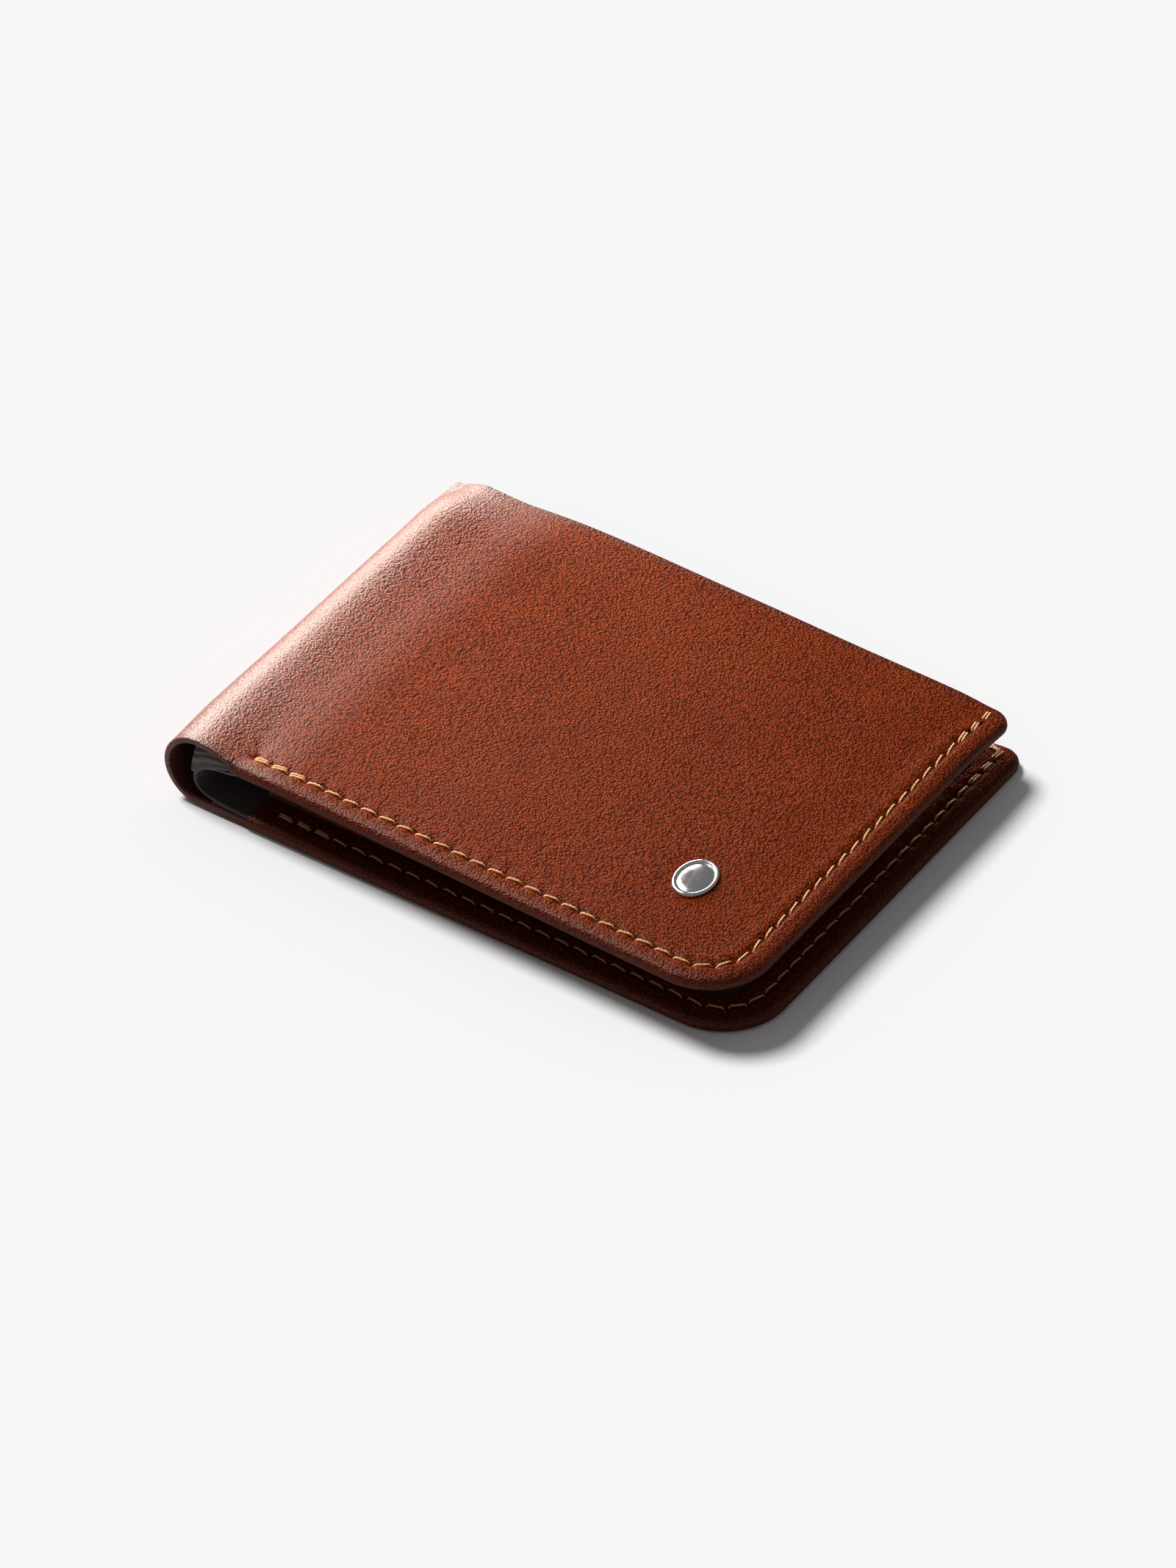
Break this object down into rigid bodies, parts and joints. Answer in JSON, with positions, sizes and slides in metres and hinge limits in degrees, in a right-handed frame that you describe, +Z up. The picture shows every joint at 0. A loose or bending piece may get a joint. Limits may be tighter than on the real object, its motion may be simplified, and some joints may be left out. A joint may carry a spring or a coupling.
{
  "type": "bifold wallet",
  "caption": "Leather bifold wallet that folds over a rounded spine, with card pockets in each half and a full-length note compartment.",
  "frame": {"origin": "under the middle of the closed wallet's box, on the surface that it lies on", "axes": "+X from the spine to the free edge, +Y from the stitched bottom edge to the open note compartment, +Z up through the closed wallet"},
  "size_m": [0.1134, 0.085, 0.0145],
  "materials": {
    "outer_leather": "pebbled semi-gloss cognac brown leather",
    "inner_leather": "smooth semi-gloss brown leather",
    "ribbed_lining": "ribbed dark grey woven lining",
    "grey_lining": "smooth dark grey woven lining",
    "backing_board": "matt bonded-fibre board",
    "thread": "twisted golden tan thread",
    "polished_metal": "polished nickel-coloured metal",
    "backing_metal": "plain sheet steel"
  },
  "bodies": {
    "lower_half": {"card_pocket_lower_1": "inner_leather", "card_pocket_lower_2": "inner_leather", "card_pocket_lower_3": "inner_leather", "cover_lining_lower": "ribbed_lining", "cover_lower": "outer_leather", "note_edge_binding_lower": "inner_leather", "note_wall_lower": "grey_lining", "pocket_backing_lower": "backing_board", "pocket_facing_lower": "inner_leather", "pocket_seam_lower": "thread", "rim_seam_lower": "thread"},
    "spine_1": {"cover_spine_1": "outer_leather", "note_wall_spine_1": "grey_lining"},
    "spine_2": {"cover_spine_2": "outer_leather", "note_wall_spine_2": "grey_lining"},
    "spine_3": {"cover_spine_3": "outer_leather", "note_wall_spine_3": "grey_lining"},
    "upper_half": {"card_pocket_upper_1": "inner_leather", "card_pocket_upper_2": "inner_leather", "card_pocket_upper_3": "inner_leather", "cover_lining_upper": "ribbed_lining", "cover_upper": "outer_leather", "emblem": "polished_metal", "emblem_backing": "backing_metal", "note_edge_binding_upper": "inner_leather", "note_wall_upper": "grey_lining", "pocket_backing_upper": "backing_board", "pocket_facing_upper": "inner_leather", "pocket_seam_upper": "thread", "rim_seam_upper": "thread"}
  },
  "joints": [
    {"name": "fold_1", "type": "hinge", "parent": "lower_half", "child": "spine_1", "pos_m": [-0.05229, 0, 0.00056], "axis": [0, -1, 0], "range_deg": [-0.6, 45.25]},
    {"name": "fold_2", "type": "hinge", "parent": "spine_1", "child": "spine_2", "pos_m": [-0.05622, 0, 0.00452], "axis": [0, -1, 0], "range_deg": [-0.6, 45.25]},
    {"name": "fold_3", "type": "hinge", "parent": "spine_2", "child": "spine_3", "pos_m": [-0.05617, 0, 0.0101], "axis": [0, -1, 0], "range_deg": [-0.6, 45.25]},
    {"name": "fold_4", "type": "hinge", "parent": "spine_3", "child": "upper_half", "pos_m": [-0.05217, 0, 0.01399], "axis": [0, -1, 0], "range_deg": [-0.6, 45.25]}
  ],
  "couplings": [
    {"joint": "fold_2", "follows": "fold_1", "ratio": 1},
    {"joint": "fold_3", "follows": "fold_1", "ratio": 1},
    {"joint": "fold_4", "follows": "fold_1", "ratio": 1}
  ]
}
